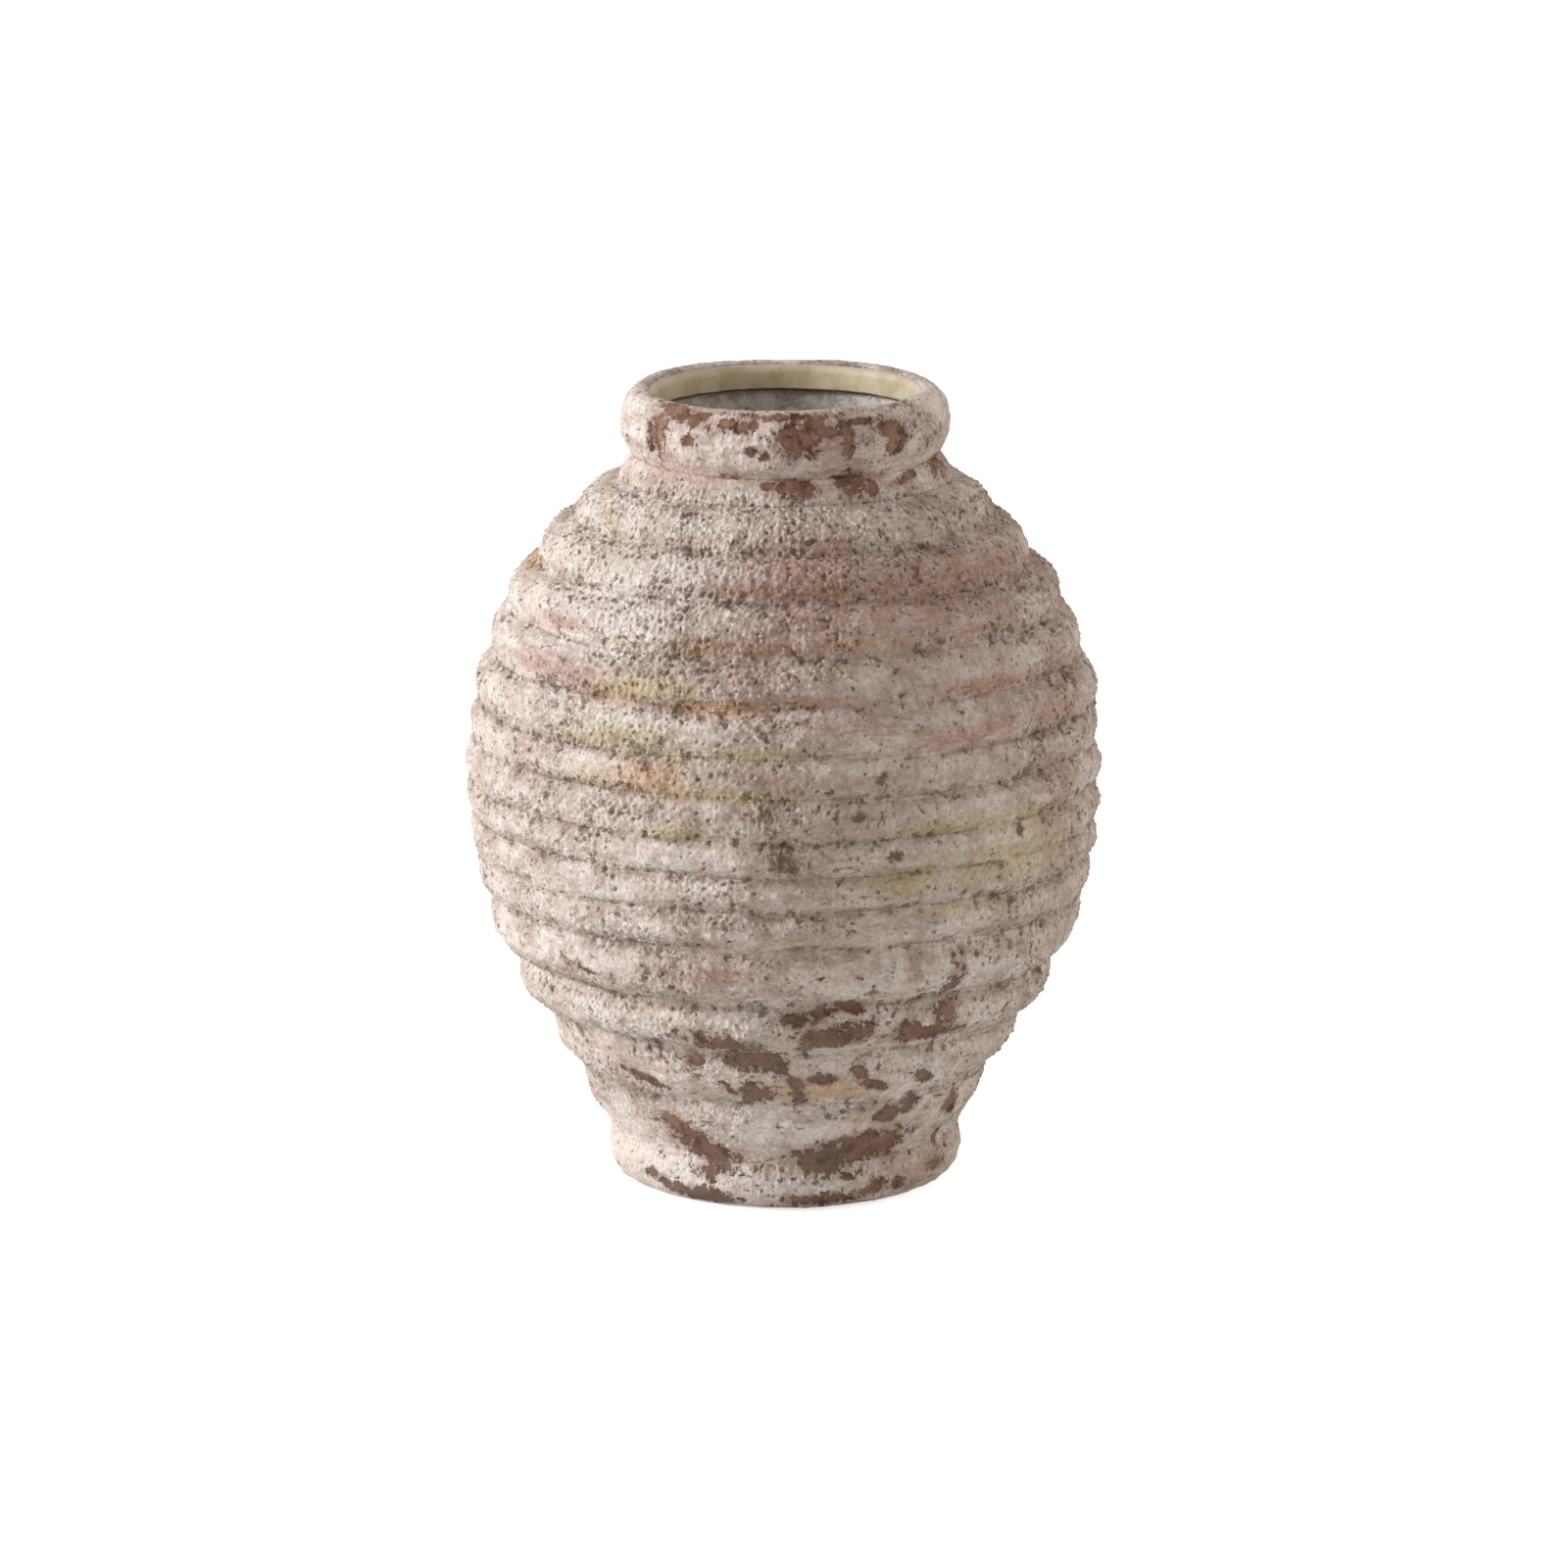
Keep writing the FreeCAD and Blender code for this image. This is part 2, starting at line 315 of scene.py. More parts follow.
def smooth_points(run, gap):
    """Evenly spaced points along a smooth curve through a run, its ends kept."""
    steps = np.linalg.norm(np.diff(run, axis=0), axis=1)
    length = np.concatenate([[0], np.cumsum(steps)])
    count = max(1, round(length[-1] / gap))
    if len(run) == 2 or count == 1:
        return np.linspace(run[0], run[-1], count + 1)
    chord = np.diff(run, axis=0) / steps[:, None]
    inner = (chord[:-1] * steps[1:, None] + chord[1:] * steps[:-1, None]) / (steps[:-1] + steps[1:])[:, None]
    tangent = np.vstack([2 * chord[0] - inner[0], inner, 2 * chord[-1] - inner[-1]])
    wanted = np.linspace(0, length[-1], count + 1)
    k = np.clip(np.searchsorted(length, wanted, side="right") - 1, 0, len(steps) - 1)
    h, t = steps[k][:, None], ((wanted - length[k]) / steps[k])[:, None]
    points = ((2 * t ** 3 - 3 * t ** 2 + 1) * run[k] + (t ** 3 - 2 * t ** 2 + t) * h * tangent[k]
              + (3 * t ** 2 - 2 * t ** 3) * run[k + 1] + (t ** 3 - t ** 2) * h * tangent[k + 1])
    points[0], points[-1] = run[0], run[-1]
    return points


print("Spacing in metres:", spacing, "Steps round:", steps_round)


# %% Split a section into runs
def runs_of(name):
    """A piece's runs, each with its kind: skin outside, lining inside, under the foot, or joint."""
    outline = outlines[name]
    closed = name != "floor_disc"
    before, after = outline - np.roll(outline, 1, axis=0), np.roll(outline, -1, axis=0) - outline
    straight = np.sum(before * after, 1) / np.linalg.norm(before, axis=1) / np.linalg.norm(after, axis=1)
    corners = [i for i in range(len(outline)) if straight[i] < CORNER or not closed]
    if closed:
        corners.append(corners[0] + len(outline))
    found = []
    for start, end in zip(corners, corners[1:]):
        run = outline[np.arange(start, end + 1) % len(outline)]
        lengths = np.linalg.norm(np.diff(run, axis=0), axis=1)
        half = np.searchsorted(np.cumsum(lengths), lengths.sum() / 2)
        middle, way = (run[half] + run[half + 1]) / 2, run[half + 1] - run[half]
        outward = np.array([way[1], -way[0]]) / np.linalg.norm(way)
        if min(away_from(other, middle) for n, other in outlines.items() if n != name) < TOUCH:
            kind = "joint"
        elif middle[1] < UNDERSIDE and outward[0] < UNDER_OUTWARD:
            kind = "under"
        else:
            kind = "skin" if outward[0] > SKIN_OUTWARD else "lining"
        found.append((kind, run))
    return found


for name in ("coil_07", "rim_roll", "foot_ring", "throat_glaze", "floor_disc"):
    print(name, [(kind, len(run)) for kind, run in runs_of(name)])

# %% [markdown]
# ## What each point of a section carries
# Along with its place, a point carries what the later steps need. Its lift is the way in which the crust
# grows there. At a joint both neighbours use the line of the bed itself, so the crust runs on from one coil
# to the next. Skin is how much crust the point gets: it fades out at the floor and at the glaze, and the neck
# was wiped nearly clean. Dip is 1 in the groove between two coils, less in a groove that lime filled, and 0
# on a coil's crest. Along is the distance up the outside of the jar, from the foot to the rim, which later
# says where a stain or a flake is. Fillet is the height of the clay smeared into the corners above the foot
# and under the rim.

# %% Work out what the points of a run carry
JOINT_BLEND, FLOOR_FADE, GLAZE_FADE = 0.0025, 0.004, 0.014
NECK_HEIGHT, NECK_HALF, WIPED_SHARE = 0.366, 0.009, 0.8
DIP_POWER = 1.5
OVER_FOOT, OVER_COILS = ("foot_ring", "coil_01"), ("coil_14", "neck_collar")
UNDER_RIM = ("neck_collar", "rim_roll")
FILLED_GROOVES = {OVER_FOOT: 0.25, OVER_COILS: 0.5, UNDER_RIM: 0.25}
FILLETS = {OVER_FOOT: 0.0022, UNDER_RIM: 0.0008}
FILLET_REACH = 0.009
CLOSE_LININGS = {"throat_glaze": 0.0008, "floor_disc": 0.002}
CARRIED = ("reach", "height", "lift_r", "lift_z", "skin", "lining", "under", "along", "dip", "fillet")


def run_values(name, number, runs, along_start):
    """What the points of one run carry, in the order of CARRIED, and how long the run is."""
    kind, run = runs[number]
    gap = CLOSE_LININGS.get(name, spacing["lining"]) if kind == "lining" else spacing[kind]
    points = smooth_points(run, gap)
    way = np.gradient(points, axis=0)
    lift = np.stack([way[:, 1], -way[:, 0]], 1) / np.linalg.norm(way, axis=1)[:, None]
    walked = walked_along(points)
    grown = np.zeros(len(points))
    if kind == "skin":
        before, after = runs[number - 1], runs[(number + 1) % len(runs)]
        ends = ((before[0], walked, before[1][-1] - before[1][-2]),
                (after[0], walked[-1] - walked, after[1][0] - after[1][1]))
        for neighbour, distance, bed in ends:
            if neighbour == "joint":
                share = np.clip(1 - distance / JOINT_BLEND, 0, 1)[:, None]
                lift = lift * (1 - share) + share * bed / np.linalg.norm(bed)
        lift /= np.linalg.norm(lift, axis=1)[:, None]
        to_glaze = (walked[-1] - walked) / GLAZE_FADE if name == "rim_roll" else 1
        grown = np.clip(np.minimum(points[:, 1] / FLOOR_FADE, to_glaze), 0, 1)
        grown *= 1 - WIPED_SHARE * np.exp(-((points[:, 1] - NECK_HEIGHT) / NECK_HALF) ** 2)
    flat = np.ones(len(points))
    at = WALL_ORDER.index(name) if name in WALL_ORDER else 0
    below, above = tuple(WALL_ORDER[max(at - 1, 0):at + 1]), tuple(WALL_ORDER[at:at + 2])
    depth = np.where(2 * walked < walked[-1], FILLED_GROOVES.get(below, 1), FILLED_GROOVES.get(above, 1))
    dip = depth * abs(2 * walked / walked[-1] - 1) ** DIP_POWER
    fillet = (FILLETS.get(below, 0) * np.clip(1 - walked / FILLET_REACH, 0, 1) ** 2
              + FILLETS.get(above, 0) * np.clip(1 - (walked[-1] - walked) / FILLET_REACH, 0, 1) ** 2)
    values = (*points.T, *lift.T, grown, flat * (kind == "lining"), flat * (kind == "under"),
              along_start + walked, dip, fillet * (kind == "skin"))
    return np.stack(values, 1), walked[-1]


def of_points(values, label):
    """One of the numbers that points carry, for all the points."""
    return values[:, CARRIED.index(label)]


print("A point carries:", CARRIED)


# %% Lay out the points of every section
def laid_out(name, along_start):
    """A piece's section: the points with all that they carry, and which stretches are joints."""
    runs = runs_of(name)
    values = [run_values(name, number, runs, along_start) for number in range(len(runs))]
    closed = name != "floor_disc"
    rows, joints, outside = [], [], 0.0
    for number, (kind, _) in enumerate(runs):
        mine = values[number][0].copy()
        if kind == "joint" and (closed or number):
            mine[0] = values[number - 1][0][-1]
        rows.append(mine if number == len(runs) - 1 and not closed else mine[:-1])
        joints += [kind == "joint"] * (len(mine) - 1)
        outside += values[number][1] if kind == "skin" else 0
    return {"values": np.concatenate(rows), "joints": np.array(joints), "closed": closed}, outside


sections, outside_length = {}, 0.0
for name in WALL_ORDER + ["throat_glaze", "floor_disc"]:
    sections[name], outside = laid_out(name, outside_length)
    outside_length += outside
print("Length up the outside in mm:", round(outside_length * 1000))
print("Points per section:", {name: len(section["values"]) for name, section in sections.items()})

# %% [markdown]
# ## Turning a section into a ring
# A ring is a section carried once round the axis, which is a rule, so Geometry Nodes make it. Curve to Mesh
# sweeps the section along a circle of any size, and then every point is put exactly at its own radius, height
# and turn. All rings have the same number of steps, so that the corners of neighbours meet. A Screw modifier
# could do it too, but here the numbers that a point carries come along by themselves.

# %% Build the tree that turns a section
ANY_RADIUS = 0.1
ring_tree, given, ring_sockets = new_geometry_tree(
    "turn a section", {"Steps Round": "Int", "Pole Merge": "Float", "Material": "Material"})
section_curve = add(ring_tree, "GeometryNodeMeshToCurve", {"Mesh": given["Geometry"]})
circle = add(ring_tree, "GeometryNodeCurvePrimitiveCircle",
             {"Resolution": given["Steps Round"], "Radius": ANY_RADIUS})
circle = store(circle, "turn_step", add(ring_tree, "GeometryNodeInputIndex"))
ring = add(ring_tree, "GeometryNodeCurveToMesh", {"Curve": circle, "Profile Curve": section_curve})
turn = maths("DIVIDE", stored(ring_tree, "turn_step"), given["Steps Round"]) * (2 * math.pi)
right, deep = maths("COSINE", turn), maths("SINE", turn)


def turned(outward, upward):
    """A vector that points outward by one number and upward by another, at the point's own turn."""
    outward, upward = stored(ring_tree, outward), stored(ring_tree, upward)
    return add(ring_tree, "ShaderNodeCombineXYZ", {"X": right * outward, "Y": deep * outward, "Z": upward})


ring = add(ring_tree, "GeometryNodeSetPosition", {"Geometry": ring, "Position": turned("reach", "height")})
ring = store(ring, "lift", turned("lift_r", "lift_z"), vector=True)
ring = add(ring_tree, "GeometryNodeMergeByDistance", {"Geometry": ring, "Distance": given["Pole Merge"]})
end_tree(ring, given["Material"])
print("Nodes in the turning tree:", len(ring_tree.nodes))

# %% [markdown]
# ## From section to plain mesh
# The tree needs the section as a string of edges whose points carry their numbers. After the sweep, the ring
# gets a UV map for baking: it is cut across into strips, as a baker cuts a roll of dough, and the strips are
# stacked to fill the square. Faces on a joint are shaded flat, because a rounded shading across the edge of a
# bed would draw a line in the groove.

# %% Make a section's edges and read numbers off a mesh
def section_object(name):
    """A piece's section as a mesh of edges whose points carry all their values."""
    values, closed = sections[name]["values"], sections[name]["closed"]
    count = len(values)
    edges = [(i, i + 1) for i in range(count - 1)] + ([(count - 1, 0)] if closed else [])
    mesh = bpy.data.meshes.new(name)
    mesh.from_pydata([(r, 0, z) for r, z in values[:, :2]], edges, [])
    for label, column in zip(CARRIED + ("section_step",), [*values.T, np.arange(count)]):
        mesh.attributes.new(label, "FLOAT", "POINT").data.foreach_set("value", column.astype(np.float32))
    return new_object(name + "_clay", mesh)


def listed(items, wanted, kind=int):
    """One number of every item, as an array."""
    found = np.zeros(len(items), kind)
    items.foreach_get(wanted, found)
    return found


def carried(mesh, label):
    """A stored number of every point, as an array."""
    return listed(mesh.attributes[label].data, "value", np.float32)


print("Sections to turn:", len(sections))

# %% Finish a turned ring
STRIP_MARGIN = 0.004
DISC_APART = 2.1
EVERY_FEW = 7
HALF_STEP = 0.5


def finish_ring(piece, name, steps):
    """Turns the faces outward, shades joints flat and lays out the map for baking."""
    mesh, section = piece.data, sections[name]
    counts, starts = listed(mesh.polygons, "loop_total"), listed(mesh.polygons, "loop_start")
    if sum(p.normal.dot(p.center) * p.area for p in list(mesh.polygons)[::EVERY_FEW]) < 0:
        mesh.flip_normals()
    corners = listed(mesh.loops, "vertex_index")
    face = np.repeat(np.arange(len(counts)), counts)
    across = carried(mesh, "turn_step")[corners]
    up = carried(mesh, "section_step")[corners]
    last = len(section["values"]) - 1
    for numbers, final, length in ((across, steps - 1, steps), (up, last, last + 1)):
        highest = np.maximum.reduceat(numbers, starts)[face]
        lowest = np.minimum.reduceat(numbers, starts)[face]
        numbers[(highest >= final - HALF_STEP) & (lowest < HALF_STEP) & (numbers < HALF_STEP)] = length
    first = np.minimum.reduceat(up, starts).astype(int)
    joint = np.append(section["joints"], False)[np.minimum(first, len(section["joints"]))]
    mesh.polygons.foreach_set("use_smooth", ~joint)
    profile = section["values"][:, :2]
    profile = np.vstack([profile, profile[:1]])
    walked = walked_along(profile)
    place = np.array([v.co for v in mesh.vertices])[corners]
    if section["closed"]:
        round_length = 2 * math.pi * profile[:, 0].mean()
        strips = max(1, round(math.sqrt(round_length / walked[-1])))
        strip_of_face = np.minimum(np.minimum.reduceat(across, starts) * strips // steps, strips - 1)[face]
        x = (across / steps * strips - strip_of_face) * round_length / strips
        y = walked[np.round(up).astype(int)] + strip_of_face * walked[-1] * (1 + STRIP_MARGIN * strips)
    else:
        top = place[:, 2] > place[:, 2].mean()
        x, y = place[:, 0] + DISC_APART * profile[:, 0].max() * top, place[:, 1]
    x, y = x - x.min(), y - y.min()
    flat = np.stack([x, y], 1) / max(x.max(), y.max()) * (1 - 2 * STRIP_MARGIN) + STRIP_MARGIN
    layer = mesh.uv_layers.new(name="OFBake")
    layer.data.foreach_set("uv", flat.astype(np.float32).ravel())
    mesh.update()


print("Room between the strips of the map:", STRIP_MARGIN)

# %% Turn every section
POLE = 1e-6
blank = bpy.data.materials.new("unpainted clay")
pieces = {}
for name in sections:
    steps = disc_steps_round if name == "floor_disc" else steps_round
    piece = shaped(section_object(name), ring_tree, ring_sockets,
                   {"Steps Round": steps, "Pole Merge": POLE, "Material": blank})
    finish_ring(piece, name, steps)
    pieces[name] = piece
print("Faces after turning:", {name: len(piece.data.polygons) for name, piece in pieces.items()})

# %% [markdown]
# ## Where the crust flaked, stained and stayed smooth
# No two stains on such a jar are alike, so their places are read off the photograph, as columns and
# rows of its 1600 pixels. Each mark is found on the wall where the camera sees it, and from then on it is a
# bearing round the jar and a distance up its outside, so it sits on the clay from any side. The half that the
# photograph doesn't show gets marks of the same kinds from a seeded draw.
#
# Flaking bares the clay, and ochre, yellow, rust and soot are stains. Thin says how worn the lime is, and
# where it is below zero the lime is thick and clean. Gritty and smooth steer how much grit stands out of the
# coat. A mark is whole in its inner third and fades until five thirds of its half size. Later, noise breaks
# its soft edge up.

# %% List the marks: column, row, half width, half height, strength if not 1, and tilt in degrees
marks = {
    "flaking": [
        (811, 452, 20, 15), (832, 437, 13, 9, 1, 30), (846, 442, 12, 5, 1, -8), (864, 446, 6, 19),
        (912, 440, 14, 9, 1, -25), (916, 454, 9, 9), (882, 429, 14, 4, 0.9, -4), (697, 420, 24, 6, 1, -8),
        (668, 440, 9, 20, 0.75), (742, 431, 8, 5), (757, 436, 8, 6, 0.9), (770, 432, 5, 6, 0.9),
        (767, 462, 8, 4, 0.9), (781, 468, 6, 4, 0.9), (800, 425, 60, 3, 0.7), (700, 452, 7, 6, 0.7),
        (812, 496, 20, 7, 1, -12), (784, 494, 6, 4), (870, 490, 16, 12, 0.85), (892, 497, 5, 8),
        (925, 487, 12, 4, 0.8, 10), (955, 470, 8, 12, 0.7), (745, 488, 14, 4, 0.6),
        (748, 1070, 30, 6, 1, -8), (765, 1082, 22, 8, 1, -5), (793, 1091, 9, 6, 1, -45),
        (808, 1106, 10, 5, 1, -50), (812, 1120, 7, 8, 0.9), (769, 1118, 15, 9), (747, 1114, 4, 9, 0.9, 30),
        (838, 1102, 16, 5, 0.9, 5), (818, 1042, 24, 6, 0.8), (843, 1063, 26, 8, 1, -8),
        (870, 1058, 26, 10, 0.8), (818, 1071, 8, 4), (866, 1028, 16, 6, 0.9, 5), (842, 1034, 22, 4, 0.8, 10),
        (948, 1056, 34, 6, 1, -2), (966, 1035, 14, 12, 0.8), (968, 1008, 9, 18, 0.7),
        (930, 1050, 12, 9, 0.8), (880, 1094, 9, 5, 1, -45), (893, 1106, 14, 4, 1, -25),
        (941, 1099, 11, 5, 1, -30), (906, 1136, 14, 8, 0.9, 15), (926, 1124, 9, 9, 1, 20),
        (972, 1124, 6, 12), (955, 1160, 3, 12, 0.9), (838, 1184, 26, 14, 1, 12), (880, 1172, 38, 13, 1, 12),
        (905, 1166, 12, 12), (692, 1148, 16, 7, 0.95, -25), (712, 1168, 18, 9, 1, -30),
        (735, 1180, 20, 10, 1, -25), (720, 1196, 14, 6, 0.8), (696, 1216, 34, 5, 0.9, -22),
        (724, 1220, 24, 6, 0.95), (840, 1224, 45, 5, 0.75), (894, 1212, 10, 6, 0.95, 15),
        (917, 1207, 6, 5, 0.95), (956, 1189, 7, 5, 0.9), (860, 1200, 8, 5, 0.8),
        (656, 1101, 18, 5, 0.75, -18), (590, 985, 16, 5, 0.6, -10), (705, 1085, 10, 5, 0.7),
        (1060, 990, 6, 14, 0.7),
    ],
    "ochre": [
        (850, 556, 52, 3, 0.3), (700, 552, 50, 3, 0.15), (848, 603, 50, 4, 0.3), (717, 663, 16, 4, 0.5),
        (870, 660, 46, 3, 0.6), (725, 722, 40, 6, 0.85), (846, 722, 26, 4, 0.4), (660, 796, 30, 12, 0.9),
        (838, 1114, 52, 8, 0.7), (905, 1140, 30, 5, 0.4), (545, 640, 14, 12, 0.2), (610, 1070, 14, 5, 0.4),
        (830, 935, 40, 4, 0.3), (1085, 722, 16, 5, 0.4), (640, 712, 40, 6, 0.6, 10),
    ],
    "yellow": [
        (622, 530, 34, 7, 0.6, -22), (650, 703, 44, 8, 0.8, 8), (640, 754, 48, 9, 0.8),
        (690, 770, 44, 8, 0.8), (762, 773, 44, 6, 0.9), (742, 814, 48, 6, 0.9), (690, 850, 36, 8, 0.7),
        (600, 790, 24, 7, 0.6), (985, 842, 48, 7, 0.9), (1040, 838, 22, 10, 0.9), (925, 897, 34, 8, 0.9),
        (1030, 875, 44, 13, 0.9), (985, 880, 60, 10, 0.6), (985, 925, 50, 5, 0.7), (835, 1111, 50, 5, 0.6),
        (620, 560, 26, 8, 0.35, -15), (700, 664, 60, 5, 0.5),
    ],
    "thin": [
        (880, 600, 130, 50, 0.7), (1030, 600, 80, 110, 0.7), (840, 860, 110, 60, 0.6),
        (960, 760, 90, 70, 0.4), (900, 1050, 170, 60, 0.1), (900, 480, 110, 30, 0.2),
        (640, 1110, 60, 30, 0.4), (640, 1182, 54, 40, -2), (880, 960, 160, 40, 0.6),
        (1080, 850, 40, 130, 0.6), (780, 800, 90, 60, 0.5), (700, 1010, 120, 40, 0.5),
        (622, 542, 54, 34, -1.2), (600, 605, 60, 50, -0.8), (800, 565, 80, 36, -1.2),
        (760, 1130, 60, 40, -0.5), (930, 1180, 44, 30), (700, 490, 100, 14, 0.6), (860, 690, 150, 40, 0.5),
        (1088, 750, 20, 80, 0.3), (750, 590, 60, 50, -0.3), (760, 1040, 50, 30, -0.3),
    ],
    "rust": [
        (850, 452, 70, 26, 0.5), (700, 425, 60, 14, 0.4), (930, 470, 30, 30, 0.2), (900, 600, 120, 40, 0.6),
        (825, 580, 60, 28, 0.9), (815, 604, 60, 8, 1.3), (1008, 577, 34, 6, 0.7), (820, 638, 60, 18, 0.7),
        (571, 636, 18, 6, 0.8), (570, 686, 44, 10, 0.75), (765, 664, 60, 9, 0.8), (1015, 700, 38, 8, 0.8),
        (990, 752, 42, 9, 0.8), (1004, 643, 18, 4, 0.7), (795, 720, 50, 8, 0.7), (745, 690, 60, 14, 0.5),
        (545, 760, 26, 22, 0.35), (840, 745, 60, 10, 0.6), (700, 480, 60, 16, 0.35), (870, 480, 40, 20, 0.5),
        (590, 1000, 40, 10, 0.5), (640, 1090, 40, 16, 0.4), (730, 1000, 30, 8, 0.5),
        (1085, 690, 14, 50, 0.4), (690, 1160, 30, 20, 0.5), (720, 560, 60, 14, 0.3), (920, 520, 60, 14, 0.3),
        (1090, 800, 14, 50, 0.3),
    ],
    "soot": [
        (801, 880, 19, 17), (904, 795, 10, 10, 0.8), (879, 836, 12, 10, 0.8), (1038, 791, 12, 8, 0.8),
        (880, 818, 7, 4, 0.9), (914, 874, 8, 7, 0.8), (1038, 846, 5, 9, 0.9), (826, 739, 14, 7, 0.6),
        (655, 785, 9, 5, 0.9), (655, 725, 6, 7, 0.8), (668, 1075, 18, 13, 0.7), (700, 524, 8, 5, 0.8),
        (860, 1055, 30, 12, 0.5), (1088, 690, 6, 9, 0.8), (560, 812, 6, 8, 0.6), (840, 942, 30, 10, 0.45),
        (760, 945, 40, 10, 0.4), (1000, 505, 12, 8, 0.6), (985, 522, 12, 6, 0.6), (780, 985, 50, 10, 0.3),
        (892, 450, 12, 20, 0.4), (940, 440, 14, 22, 0.25), (920, 1040, 60, 10, 0.35),
        (1060, 775, 14, 8, 0.5),
    ],
    "gritty": [
        (700, 560, 120, 70, 0.5), (720, 680, 110, 60, 0.4), (620, 710, 50, 50, 0.3),
        (650, 800, 110, 50, 0.3), (850, 530, 130, 30, 0.4), (600, 830, 80, 50, 0.2),
        (1020, 560, 50, 60, 0.2), (830, 640, 60, 40, 0.2), (800, 570, 90, 40, 0.4), (720, 920, 60, 30, 0.3),
        (560, 930, 50, 50, 0.2), (940, 440, 24, 30, 0.6), (1030, 1010, 40, 50, 0.4),
        (1085, 700, 25, 90, 0.3), (800, 800, 60, 40, 0.2), (640, 500, 50, 30, 0.4),
    ],
    "smooth": [
        (520, 655, 34, 50, 0.15), (575, 665, 30, 14, 0.3), (702, 747, 34, 9), (600, 780, 26, 12, 0.8),
        (690, 874, 70, 15), (940, 720, 100, 90, 0.6), (1000, 860, 90, 60, 0.5), (600, 972, 50, 14, 0.9),
        (850, 985, 120, 40, 0.3), (800, 1100, 220, 60, 0.2), (800, 440, 190, 45, 0.35), (800, 484, 170, 14),
        (800, 1180, 200, 45, 0.3), (640, 1185, 50, 40), (900, 950, 90, 40, 0.4), (640, 915, 80, 12, 0.6),
        (520, 560, 20, 30, 0.2), (950, 500, 40, 14, 0.3),
    ],
}
print("Marks read by eye:", {kind: len(rows) for kind, rows in marks.items()})

# %% Find each mark on the wall
WALL_REACH = 0.008
LEAST_FORESHORTENING = 0.3
NEAR_PIXELS, NEAR_MARGIN, FAR_PIXELS = 2.5, 0.5, 1000
FRONT_DEGREES = 86
wall = np.concatenate([sections[n]["values"] for n in WALL_ORDER])
wall = wall[of_points(wall, "skin") > 0]
wall = wall[np.argsort(of_points(wall, "along"))]
wall_along = of_points(wall, "along")
bearings = np.radians(np.arange(-FRONT_DEGREES, FRONT_DEGREES + 1))
wall_r, wall_z, lift_r, lift_z = (of_points(wall, label)[:, None] for label in CARRIED[:4])
grid_x, grid_y = wall_r * np.sin(bearings), -wall_r * np.cos(bearings)
columns, lines, depths = seen_at(grid_x, grid_y, wall_z + 0 * grid_x)
outward = np.sin(bearings) * (camera.location.x - grid_x) - np.cos(bearings) * (camera.location.y - grid_y)
facing = lift_r * outward + lift_z * (camera.location.z - wall_z) > 0


def found_on_wall(column, row, half_width, half_height, strength=1, tilt=0):
    """A mark's bearing, distance up the outside, radius, half sizes in metres, tilt and strength."""
    off = np.hypot(columns - column, lines - row) + FAR_PIXELS * ~facing
    near = off < max(NEAR_PIXELS, off.min() + NEAR_MARGIN)
    i, j = np.unravel_index(np.argmin(np.where(near, depths, np.inf)), off.shape)
    j_left, j_right = max(j - 1, 0), min(j + 1, len(bearings) - 1)
    ring_pixels = np.hypot(columns[i, j_right] - columns[i, j_left], lines[i, j_right] - lines[i, j_left])
    ring_pixels /= (bearings[j_right] - bearings[j_left]) * wall_r[i, 0]
    below = np.searchsorted(wall_along, max(wall_along[i] - WALL_REACH, wall_along[0]))
    above = min(np.searchsorted(wall_along, wall_along[i] + WALL_REACH), len(wall_along) - 1)
    wall_pixels = np.hypot(columns[above, j] - columns[below, j], lines[above, j] - lines[below, j])
    wall_pixels /= wall_along[above] - wall_along[below]
    least = LEAST_FORESHORTENING * focal_pixels / camera_distance
    return (bearings[j], wall_along[i], wall_r[i, 0], half_width / max(ring_pixels, least),
            half_height / max(wall_pixels, least), math.radians(tilt), strength)


SPREAD = {"ochre": (1.35, 1.6), "yellow": (1.35, 1.6), "rust": (1.3, 1.3), "flaking": (1.1, 1.15)}
placed = {}
for kind, rows in marks.items():
    wider, taller = SPREAD.get(kind, (1, 1))
    placed[kind] = [found_on_wall(x, y, wide * wider, high * taller, *rest)
                    for x, y, wide, high, *rest in rows]
first_flake = placed["flaking"][0]
print("The first flake is at", round(math.degrees(first_flake[0])), "degrees,",
      round(first_flake[1] * 1000), "mm up the outside")

# %% Draw marks for the half that the photograph doesn't show
HIDDEN_FROM, HIDDEN_TO = math.radians(92), math.radians(268)
starts = {n: of_points(sections[n]["values"], "along").min() for n in WALL_ORDER[1:]}
foot_top, neck_start, rim_start = starts["coil_01"], starts["neck_collar"], starts["rim_roll"]
draw = np.random.default_rng(20)


def drawn(kind, count, low, high, widths, heights, strength, tilts=0.0):
    """Adds marks of one kind at random places between two distances up the outside."""
    for _ in range(count):
        along = draw.uniform(low, high)
        radius = np.interp(along, wall_along, wall_r[:, 0])
        placed[kind].append((draw.uniform(HIDDEN_FROM, HIDDEN_TO), along, radius, draw.uniform(*widths),
                             draw.uniform(*heights), draw.uniform(-tilts, tilts), draw.uniform(*strength)))


